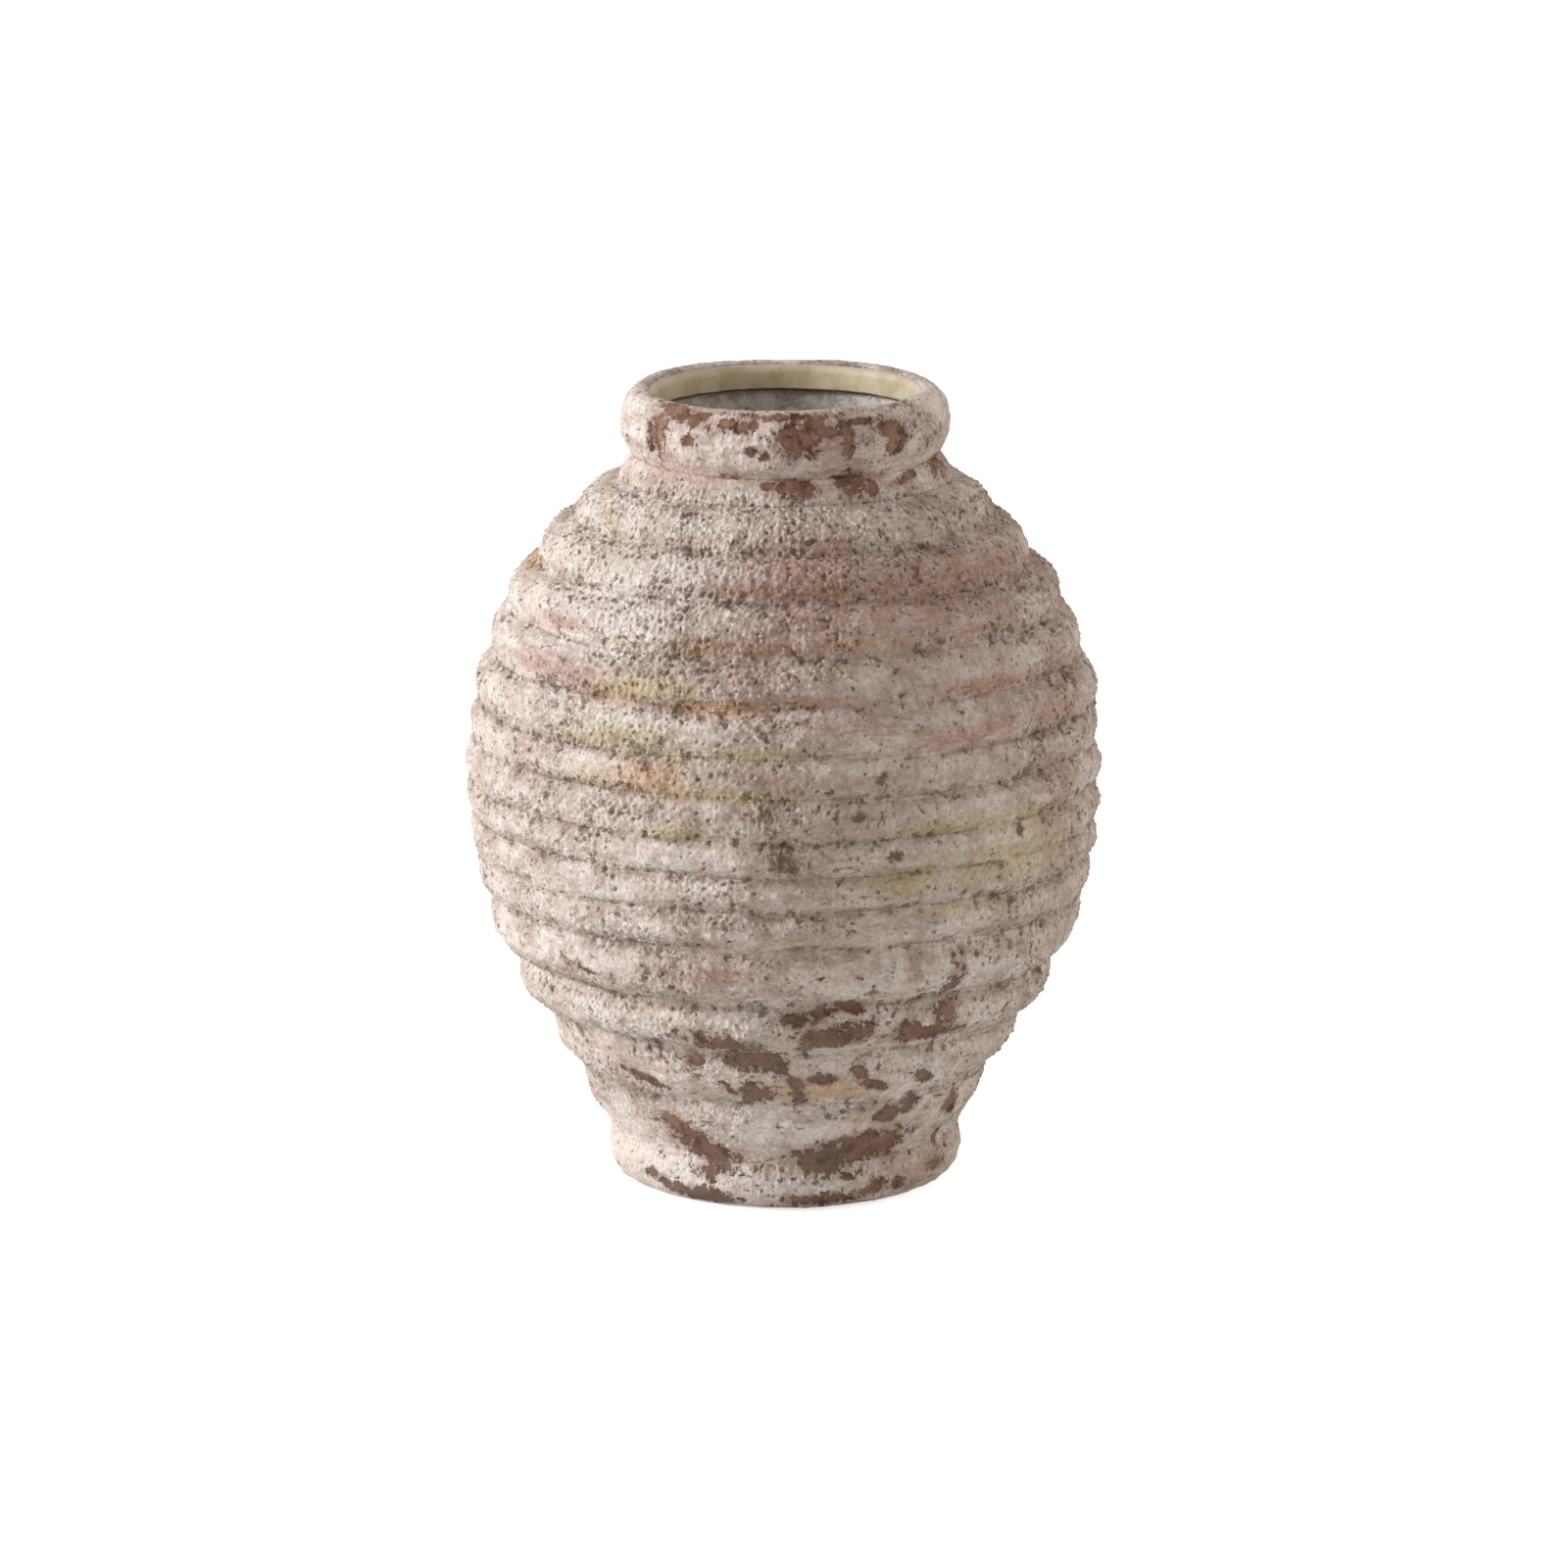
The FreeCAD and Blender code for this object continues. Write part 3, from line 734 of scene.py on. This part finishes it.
drawn("flaking", 12, rim_start + 0.004, outside_length - 0.008, (0.003, 0.010), (0.002, 0.006), (0.8, 1), 0.4)
drawn("flaking", 6, neck_start, rim_start, (0.004, 0.010), (0.002, 0.004), (0.8, 1))
drawn("flaking", 22, foot_top, foot_top + 0.1, (0.005, 0.022), (0.002, 0.007), (0.8, 1), 0.6)
drawn("flaking", 12, 0.002, foot_top, (0.004, 0.020), (0.003, 0.008), (0.8, 1), 0.4)
drawn("flaking", 10, foot_top + 0.1, neck_start, (0.003, 0.008), (0.001, 0.003), (0.7, 1), 0.3)
for groove in list(starts.values())[1:-1]:
    drawn("ochre", 2, groove - 0.003, groove + 0.004, (0.012, 0.040), (0.002, 0.005), (0.4, 1))
    drawn("yellow", 2, groove - 0.003, groove + 0.006, (0.012, 0.040), (0.002, 0.006), (0.4, 1))
    drawn("rust", 2, groove - 0.006, groove + 0.008, (0.010, 0.032), (0.002, 0.009), (0.3, 0.9))
drawn("soot", 16, foot_top, rim_start, (0.003, 0.008), (0.002, 0.007), (0.6, 1))
drawn("gritty", 16, foot_top + 0.08, neck_start, (0.020, 0.060), (0.010, 0.030), (0.2, 0.5))
drawn("thin", 24, foot_top, rim_start, (0.030, 0.070), (0.012, 0.035), (0.4, 1))
drawn("smooth", 14, foot_top + 0.03, neck_start, (0.020, 0.060), (0.006, 0.020), (0.4, 1))
drawn("smooth", 10, 0.0, foot_top + 0.08, (0.030, 0.070), (0.010, 0.030), (0.4, 0.8))
drawn("smooth", 10, rim_start - 0.01, outside_length, (0.030, 0.050), (0.010, 0.030), (0.5, 0.8))
print("Marks in all:", {kind: len(rows) for kind, rows in placed.items()})

# %% Store the marks on every point of the wall
SPOT_MIDDLE, SPOT_FADE = 1.25, 0.75
ADDING_UP = ("gritty", "smooth", "thin")
for name in WALL_ORDER:
    mesh = pieces[name].data
    turn = carried(mesh, "turn_step") / steps_round * 2 * math.pi
    along, outside = carried(mesh, "along"), (carried(mesh, "lining") + carried(mesh, "under")) == 0
    for kind, rows in placed.items():
        total = np.zeros(len(along))
        for bearing, at, radius, half_width, half_height, tilt, strength in rows:
            reach = 2 * (half_height + half_width)
            if not along.min() - reach < at < along.max() + reach:
                continue
            aside = (turn + math.pi / 2 - bearing + math.pi) % (2 * math.pi) - math.pi
            aside, upward = aside * radius, along - at
            u = (aside * math.cos(tilt) + upward * math.sin(tilt)) / half_width
            v = (upward * math.cos(tilt) - aside * math.sin(tilt)) / half_height
            spot = strength * np.clip(SPOT_MIDDLE - SPOT_FADE * np.hypot(u, v), 0, 1) * outside
            total = total + spot if kind in ADDING_UP else np.maximum(total, spot)
        mesh.attributes.new(kind, "FLOAT", "POINT").data.foreach_set("value", total.astype(np.float32))
print("Points with a flake on the rim:", int((carried(pieces["rim_roll"].data, "flaking") > 0.5).sum()))

# %% [markdown]
# ## The gritty crust
# Lime wash thickened with sand dries to a coat a millimetre or two thick. It is lumpy where the sand is
# coarse, full of small pits where bubbles burst, smooth where a hand wiped it, and gone where it flaked. It
# follows the dents of the clay, and it fills a groove in some stretches and leaves it deep in others. The
# pattern is worked out from the place alone, so it runs across the joints between coils. One function builds
# it in both kinds of tree: Geometry Nodes raise the mesh with it, and the shader paints the same grains, pits
# and flakes in the same places. The whole wall also wanders a little, as hand-laid coils do: less at the
# neck, where the glaze fits in, and not at all where the foot meets the floor, below which no point may sink.

# %% Set how high and how wide the crust's shapes are, in metres
CRUST = {"Seed": 3, "Crust Height": 0.0011, "Grit Height": 0.0016, "Pit Depth": 0.001, "Groove Fill": 0.003,
         "Groove Cut": 0.0016, "Dent Depth": 0.004, "Hand Wobble": 0.0055}
SEED_SHIFT = (0.37, 0.61, 0.83)
NOISE_MIDDLE = 0.5
WARP_WIDTH, WARP_REACH = 0.0018, 0.0036
PATCH_WIDTH, LUMP_WIDTH, DENT_WIDTH, SMEAR_WIDTH, WOBBLE_WIDTH = 0.013, 0.0065, 0.011, 0.024, 0.035
GRAIN_WIDTH, GRAIN_CLOUD_WIDTH = 0.0025, 0.003
PIT_WIDTH, CRUMB_WIDTH, FLAKE_EDGE_WIDTH = 0.0034, 0.0026, 0.0026
print("The crust's numbers:", CRUST)


# %% Build the pattern of grit, grains, pits and flakes
def swing(place, size, detail=2.0, roughness=0.5):
    """Cloudy noise that swings about zero."""
    return noise(place, size, detail, roughness) - NOISE_MIDDLE


def swings(place, size, detail=2.0):
    """A vector of three noises that swing about zero."""
    return vectors("SUBTRACT", noise(place, size, detail, output=1), 3 * (NOISE_MIDDLE,))


def crust_pattern(place):
    """Numbers from 0 to 1 for the grit, grains, pits and bare clay at a place on the wall."""
    ragged = vectors("ADD", place, vectors("SCALE", swings(place, WARP_WIDTH), WARP_REACH))
    smooth = stored(place.tree, "smooth")
    patchy = swing(place, PATCH_WIDTH, 4.0, 0.6)
    grit = slope(patchy * 2.4 + (stored(place.tree, "gritty") + 0.5 - smooth), 0.0, 1.0)
    away, chance = cells(ragged, GRAIN_WIDTH)
    grains = slope(away, 0.75, 0.1) * (chance * 0.8 + 0.2) + noise(place, GRAIN_CLOUD_WIDTH) * 0.5
    away, chance = cells(ragged, PIT_WIDTH)
    pits = slope(grit * 0.18 + (chance * 0.52 - 0.22) - away, 0.0, 0.14)
    crumbled = patchy * 0.3 + noise(ragged, CRUMB_WIDTH, 3.0, 0.65)
    crumbled = crumbled + stored(place.tree, "dip") * 0.075 - smooth * 0.05
    pits = maths("MAXIMUM", pits, slope(crumbled, 0.62, 0.69))
    edge = swing(ragged, FLAKE_EDGE_WIDTH, 5.0, 0.72) * 3.2
    bare = slope(edge + stored(place.tree, "flaking"), 0.5, 0.57)
    return grit, grains, pits, bare


print("Widths of grains, pits and dents in metres:", GRAIN_WIDTH, PIT_WIDTH, DENT_WIDTH)

# %% Build the tree that raises the crust: its height
LEAST_GRIT, GRAIN_MIDDLE, NARROW_POWER = 0.15, 0.45, 1.5
crust_tree, given, crust_sockets = new_geometry_tree(
    "raise the crust", {**dict.fromkeys(CRUST, "Float"), "Seed": "Int", "Material": "Material"})
level = add(crust_tree, "GeometryNodeInputPosition")
grain = vectors("ADD", level, vectors("SCALE", SEED_SHIFT, given["Seed"]))
grit, grains, pits, bare = crust_pattern(grain)
height = slope(noise(grain, LUMP_WIDTH, 3.0, 0.6), 0.3, 0.7) * given["Crust Height"]
coarse = (grit * (1 - LEAST_GRIT) + LEAST_GRIT) * given["Grit Height"]
height = coarse * (grains - GRAIN_MIDDLE) + height
height = swing(grain, DENT_WIDTH) * given["Dent Depth"] + height
height = (height - pits * given["Pit Depth"]) * (1.0 - bare)
smeared = slope(noise(grain, SMEAR_WIDTH), 0.42, 0.62, 0.1) * given["Groove Fill"] - given["Groove Cut"]
height = smeared * maths("POWER", stored(crust_tree, "dip"), NARROW_POWER) + height
height = height * stored(crust_tree, "skin") + stored(crust_tree, "fillet")
print("Nodes for the crust's height:", len(crust_tree.nodes))

# %% Build the tree that raises the crust: moving the points
FOOT_STEADY, FOOT_FREE = 0.0, 0.03
NECK_STEADY, BODY_FREE, NECK_SHARE = 0.36, 0.31, 0.35
ON_THE_FLOOR = (-1.0, -1.0, 0.0)
raised = vectors("SCALE", stored(crust_tree, "lift", vector=True), height)
free = slope(stored(crust_tree, "height"), NECK_STEADY, BODY_FREE, NECK_SHARE, 1.0)
free = free * slope(stored(crust_tree, "height"), FOOT_STEADY, FOOT_FREE)
wander = vectors("SCALE", swings(grain, WOBBLE_WIDTH, 1.0), free * given["Hand Wobble"])
moved = vectors("ADD", level, vectors("ADD", raised, wander))
moved = vectors("MAXIMUM", moved, ON_THE_FLOOR)
clay = add(crust_tree, "GeometryNodeSetPosition", {"Geometry": given["Geometry"], "Position": moved})
clay = store(clay, "grain", grain, vector=True)
end_tree(clay, given["Material"])
print("Nodes in the crust tree:", len(crust_tree.nodes))

# %% [markdown]
# ## Painting the crust
# The lime coat is cream where it is thick, dusty pink where the clay shows through and grey where it was
# handled. Damp left ochre, yellow and rust-red bands in the grooves, and soot settled in spots. Where the
# coat flaked, the brown red clay is bare, with dust left in its pores, and round a flake the lime is scuffed.
# Each finish is a colour from noise at its own scale, mixed by the pattern and the marks. Pits are painted
# darker as well as sunk, partly for the dust that lies in them and partly as painted shade. The grooves get
# painted shade as well, and the grains get a painted highlight on their tops and painted shade between them.


# %% Short helpers for finishes
def paint(share, under, over):
    """Mixes a colour over another one. Each is a colour code or a flow."""
    node = share.tree.nodes.new("ShaderNodeMix")
    node.data_type = "RGBA"
    factor, below, above = [s for s in node.inputs if s.enabled]
    for socket, source in ((factor, share), (below, under), (above, over)):
        feed(socket, tint(source) if isinstance(source, str) else source)
    return Flow([s for s in node.outputs if s.enabled][0])


def clouds(place, size, detail, roughness, low, high, most=1.0):
    """A share from 0 to most that comes and goes in clouds about as wide as size."""
    return slope(noise(place, size, detail, roughness), low, high, 0.0, most)


def stained(colour, kind, code, broken, low, high, most, near):
    """Paints one kind of mark over a colour. Noise breaks it up, but it stays near the mark's own place."""
    mark = stored(broken.tree, kind)
    return paint(slope(mark + broken, low, high, 0.0, most) * slope(mark, 0.0, near), colour, code)


def new_finish(name, roughness, specular):
    """A material with its tree and its shader."""
    material = bpy.data.materials.new(name)
    material.use_nodes = True
    shader = material.node_tree.nodes["Principled BSDF"]
    shader.inputs["Roughness"].default_value = roughness
    shader.inputs["Specular IOR Level"].default_value = specular
    return material, material.node_tree, shader


def raise_by(shader, height, strength=1.0):
    """Gives a shader a bump whose height is in metres."""
    feed(shader.inputs["Normal"],
         add(height.tree, "ShaderNodeBump", {"Height": height, "Distance": 1.0, "Strength": strength}))


def bare_clay_colour(place):
    """Fired red clay: brown-red and blotchy, with pale dust in its pores, and greyer towards the foot."""
    colour = paint(clouds(place, 0.008, 3.0, 0.5, 0.35, 0.65), "7d5740", "9a735c")
    colour = paint(clouds(place, 0.0035, 4.0, 0.6, 0.46, 0.64), colour, "583a2a")
    colour = paint(clouds(place, 0.0012, 4.0, 0.75, 0.5, 0.68, 0.4), colour, "b39a88")
    weathered = slope(noise(place, 0.035), 0.42, 0.58, 0.2, 0.6)
    low_down = slope(stored(place.tree, "height"), 0.35, 0.15, 0.1, 1.0)
    return paint(weathered * low_down, colour, "7d6b60")


print("Materials so far:", [material.name for material in bpy.data.materials])

# %% Paint the lime coat's own colours, with a painted highlight on grain tops and painted shade between grains
crusted, tree, shader = new_finish("gritty lime over red clay", 0.88, 0.25)
place = stored(tree, "grain", vector=True)
stretched = vectors("MULTIPLY", place, (1.0, 1.0, 5.0))
grit, grains, pits, bare = crust_pattern(place)
thin = stored(tree, "thin")
unclean = slope(thin, -1.2, 0.0, 0.2, 1.0)
handled = clouds(stretched, 0.02, 4.0, 0.6, 0.42, 0.66, 0.6)
mottled = clouds(place, 0.0045, 4.0, 0.7, 0.5, 0.68, 0.45)
rosy = clouds(stretched, 0.007, 4.0, 0.7, 0.52, 0.7, 0.4)
worn = slope(thin * 0.11 + noise(place, 0.008, 6.0, 0.7), 0.46, 0.72, 0.0, 0.6)
film = slope(thin, 0.0, 1.5, 0.0, 0.5)
# The tops of the grains get a painted highlight and the hollows between them get painted shade.
grain_tops_painted_highlight, grain_hollows_painted_shade = slope(grains, 0.45, 1.0, 0.0, 0.4), slope(grains, 0.4, 0.2, 0.0, 0.4)
colour = paint(clouds(place, 0.025, 3.0, 0.5, 0.35, 0.65), "f0e7de", "e7d9cd")
for share, code in ((handled * unclean, "c0ac9d"), (mottled * unclean, "ad9884"), (rosy * unclean, "c39f8e"),
                    (worn, "a68b78"), (film, "b8957f"), (grain_tops_painted_highlight * grit, "ece2d8"), (grain_hollows_painted_shade * grit, "9b8270")):
    colour = paint(share, colour, code)
print("Nodes for the lime's own colours:", len(tree.nodes))

# %% Paint the stains, the dirt and painted shade in grooves and pits, the soot and the scuffs
SPECK_WIDTH = 0.002
broken = swing(stretched, 0.005, 5.0, 0.7) * 1.8
for kind, code, most in (("rust", "ab7a64", 0.65), ("ochre", "cda073", 0.7), ("yellow", "cbb887", 0.6)):
    colour = stained(colour, kind, code, broken, -0.1, 1.1, most, 0.3)
# The grooves are painted darker in clouds: partly dirt, partly painted shade under the coils.
seam = slope(stored(tree, "dip"), 0.35, 1.0) * clouds(stretched, 0.009, 5.0, 0.65, 0.42, 0.62, 0.5)
colour = paint(seam, colour, "8c7262")
colour = paint(clouds(place, 0.0012, 3.0, 0.75, 0.38, 0.64), colour, "eae1da")
colour.socket.node.blend_type = "MULTIPLY"
away, chance = cells(place, SPECK_WIDTH)
specks = slope(grit * 0.1 + (chance * 0.44 - 0.2) - away, 0.0, 0.15, 0.0, 0.8)
pits = maths("MAXIMUM", pits, specks)
# Pits and specks are painted darker: dust that lies in them, together with painted shade in the hollows.
colour = paint(pits * 0.6, colour, "785f4d")
crumbs, scuffs = swing(place, 0.0022, 4.0, 0.7) * 3.0, swing(place, 0.0035, 5.0, 0.7) * 2.0
colour = stained(colour, "soot", "604938", crumbs, 0.3, 1.0, 0.85, 0.2)
colour = stained(colour, "flaking", "9c7664", scuffs, 0.1, 0.7, 0.55, 0.2)
print("Nodes with the stains:", len(tree.nodes))

# %% Paint the flakes, the lining and the underside
clay_colour = bare_clay_colour(place)
inside = paint(clouds(place, 0.004, 4.0, 0.65, 0.4, 0.62), "c4b3a8", "e6dbd1")
for share, over in ((bare, clay_colour), (stored(tree, "lining"), inside),
                    (stored(tree, "under"), clay_colour)):
    colour = paint(share, colour, over)
feed(shader.inputs["Base Color"], colour)
print("Nodes with the flakes:", len(tree.nodes))

# %% Add the relief that is finer than the mesh, in metres
GRAIN_BUMP, GRITTY_GRAIN_BUMP, SAND_BUMP, GRITTY_SAND_BUMP = 0.0004, 0.0003, 0.0003, 0.0002
WAVE_BUMP, PIT_BUMP, COAT_BUMP = 0.0008, 0.0008, 0.0012
sand = noise(place, 0.0008, 3.0, 0.7)
height = grains * (grit * GRITTY_GRAIN_BUMP + GRAIN_BUMP) + sand * (grit * GRITTY_SAND_BUMP + SAND_BUMP)
height = noise(place, 0.0022, 3.0, 0.65) * WAVE_BUMP + height - pits * PIT_BUMP
height = (height + COAT_BUMP) * (1.0 - bare) + sand * SAND_BUMP
raise_by(shader, height, 0.8)
print("Nodes in the crust's material:", len(tree.nodes))

# %% [markdown]
# ## Bare clay and glaze
# The floor is bare clay with a little lime dust on it. The throat has a thin cream glaze, which ran in faint
# streaks while it melted and is worn off in patches along its upper edge. Its lower edge is painted dark
# brown, partly browning of the glaze and partly painted shade under the lip.
# Both edges are found by how high a place is above the foot of the glaze, with some noise so that neither is
# a ruled line.

# %% Paint the floor's bare clay
bare_clay, tree, shader = new_finish("bare fired clay", 0.85, 0.25)
place = stored(tree, "grain", vector=True)
dusty = clouds(place, 0.012, 4.0, 0.5, 0.4, 0.6, 0.7)
feed(shader.inputs["Base Color"], paint(dusty, bare_clay_colour(place), "8b7d78"))
raise_by(shader, noise(place, 0.001, 3.0, 0.6) * 0.0005)
print("Nodes in the bare clay's material:", len(tree.nodes))

# %% Paint the throat's glaze
GLAZED_ROUGHNESS, WORN_ROUGHNESS = 0.5, 0.85
BROWN_EDGE, BROWN_SPREAD, WORN_EDGE, WORN_SPREAD = 0.0002, 0.0012, 0.0098, 0.004
glaze, tree, shader = new_finish("thin cream glaze", GLAZED_ROUGHNESS, 0.4)
place = stored(tree, "grain", vector=True)
glaze_foot = round(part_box("throat_glaze")[0].z, 4) + CRUST["Seed"] * SEED_SHIFT[2]
rise = add(tree, "ShaderNodeSeparateXYZ", {"Vector": place}, 2) - glaze_foot
streaks = clouds(vectors("MULTIPLY", place, (6.0, 6.0, 1.0)), 0.012, 2.0, 0.5, 0.5, 0.7, 0.15)
# The lowest millimetre of the glaze is painted dark brown: browning of the glaze together with painted shade
# under the lip.
browned_and_shaded_edge = slope(rise - (noise(place, 0.004) * BROWN_SPREAD + BROWN_EDGE), 0.0008, -0.0004)
worn = slope(rise - (noise(place, 0.002, 3.0) * WORN_SPREAD + WORN_EDGE), -0.0003, 0.0005, 0.0, 0.9)
colour = paint(clouds(place, 0.006, 3.0, 0.5, 0.35, 0.65), "cec09f", "beab86")
for share, code in ((streaks, "ddd1b9"), (browned_and_shaded_edge, "5e4436"), (worn, "c9b2a2")):
    colour = paint(share, colour, code)
feed(shader.inputs["Base Color"], colour)
feed(shader.inputs["Roughness"], slope(worn, 0.0, 1.0, GLAZED_ROUGHNESS, WORN_ROUGHNESS))
raise_by(shader, noise(place, 0.003) * 0.0003)
print("Materials:", crusted.name + ",", bare_clay.name + ",", glaze.name, "and the glaze's foot:", glaze_foot)

# %% [markdown]
# ## Working the crust onto every ring
# Each ring goes through the crust tree with its own material. The glaze and the floor disc carry no crust,
# but they go through it too, because the slow wobble of hand-laid clay has to move them along with their
# neighbours.

# %% Raise the crust and hand the pieces to the frame
finishes = {"throat_glaze": (glaze, "cream_glaze"), "floor_disc": (bare_clay, "bare_clay")}
for name, piece in pieces.items():
    material, slot = finishes.get(name, (crusted, "crusted_clay"))
    shaped(piece, crust_tree, crust_sockets, {**CRUST, "Material": material})
    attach(piece, "root")
    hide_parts(name)
triangles = {name: 2 * len(piece.data.polygons) for name, piece in pieces.items()}
print("Triangles:", triangles, "in all", sum(triangles.values()))

# %% [markdown]
# ## Floor, backdrop and light
# The jar stands on white in a bright, soft studio. The floor is pale, and what the camera itself sees of it
# gets enough extra white to meet the white backdrop, while the jar's soft shadow stays. A broad lamp from the
# upper left gives the jar its lit side, and a weak one from the right lifts the far edge a little.

# %% Set up the floor and the backdrop
FLOOR_HALF, FLOOR_GLOW, SKY_LIGHT = 9.0, 0.72, 0.46


def seen_by_camera(tree):
    """1 for what the camera sees, also in a gloss or through glass, and 0 for what only gives light."""
    rays = tree.nodes.new("ShaderNodeLightPath").outputs
    seen = maths("MAXIMUM", Flow(rays["Is Camera Ray"]), Flow(rays["Is Glossy Ray"]))
    return maths("MAXIMUM", seen, Flow(rays["Is Transmission Ray"]))


mesh = bpy.data.meshes.new("studio floor")
corners = [(-FLOOR_HALF, -FLOOR_HALF, 0), (FLOOR_HALF, -FLOOR_HALF, 0), (FLOOR_HALF, FLOOR_HALF, 0),
           (-FLOOR_HALF, FLOOR_HALF, 0)]
mesh.from_pydata(corners, [], [(0, 1, 2, 3)])
floor = new_object("studio_floor", mesh)
white, tree, shader = new_finish("white floor", 0.9, 0.0)
shader.inputs["Base Color"].default_value = tint("e8e8e8")
feed(shader.inputs["Emission Color"], (1, 1, 1, 1))
feed(shader.inputs["Emission Strength"], seen_by_camera(tree) * FLOOR_GLOW)
mesh.materials.append(white)

world = bpy.data.worlds.new("white studio")
world.use_nodes = True
bpy.context.scene.world = world
sky = world.node_tree.nodes["Background"]
feed(sky.inputs["Color"], (1, 1, 1, 1))
feed(sky.inputs["Strength"], seen_by_camera(world.node_tree) * (1 - SKY_LIGHT) + SKY_LIGHT)
print("Floor:", floor.name, "and world:", world.name)


# %% Set up the lamps
JAR_MIDDLE = (0, 0, 0.2)


def lamp(name, place, size, watts, warmth):
    """A square area lamp that shines at the jar's middle."""
    light = bpy.data.lights.new(name, "AREA")
    light.size, light.energy, light.color = size, watts, tint(warmth)[:3]
    holder = new_object(name, light)
    holder.location = place
    holder.rotation_euler = (Vector(JAR_MIDDLE) - Vector(place)).to_track_quat("-Z", "Y").to_euler()


lamp("broad lamp on the left", (-2.9, -0.5, 1.4), 1.2, 96, "f2f6ff")
lamp("weak lamp on the right", (2.5, 0.2, 1.0), 1.2, 16, "fffaf6")
scene = bpy.context.scene
scene.view_settings.view_transform = "Standard"
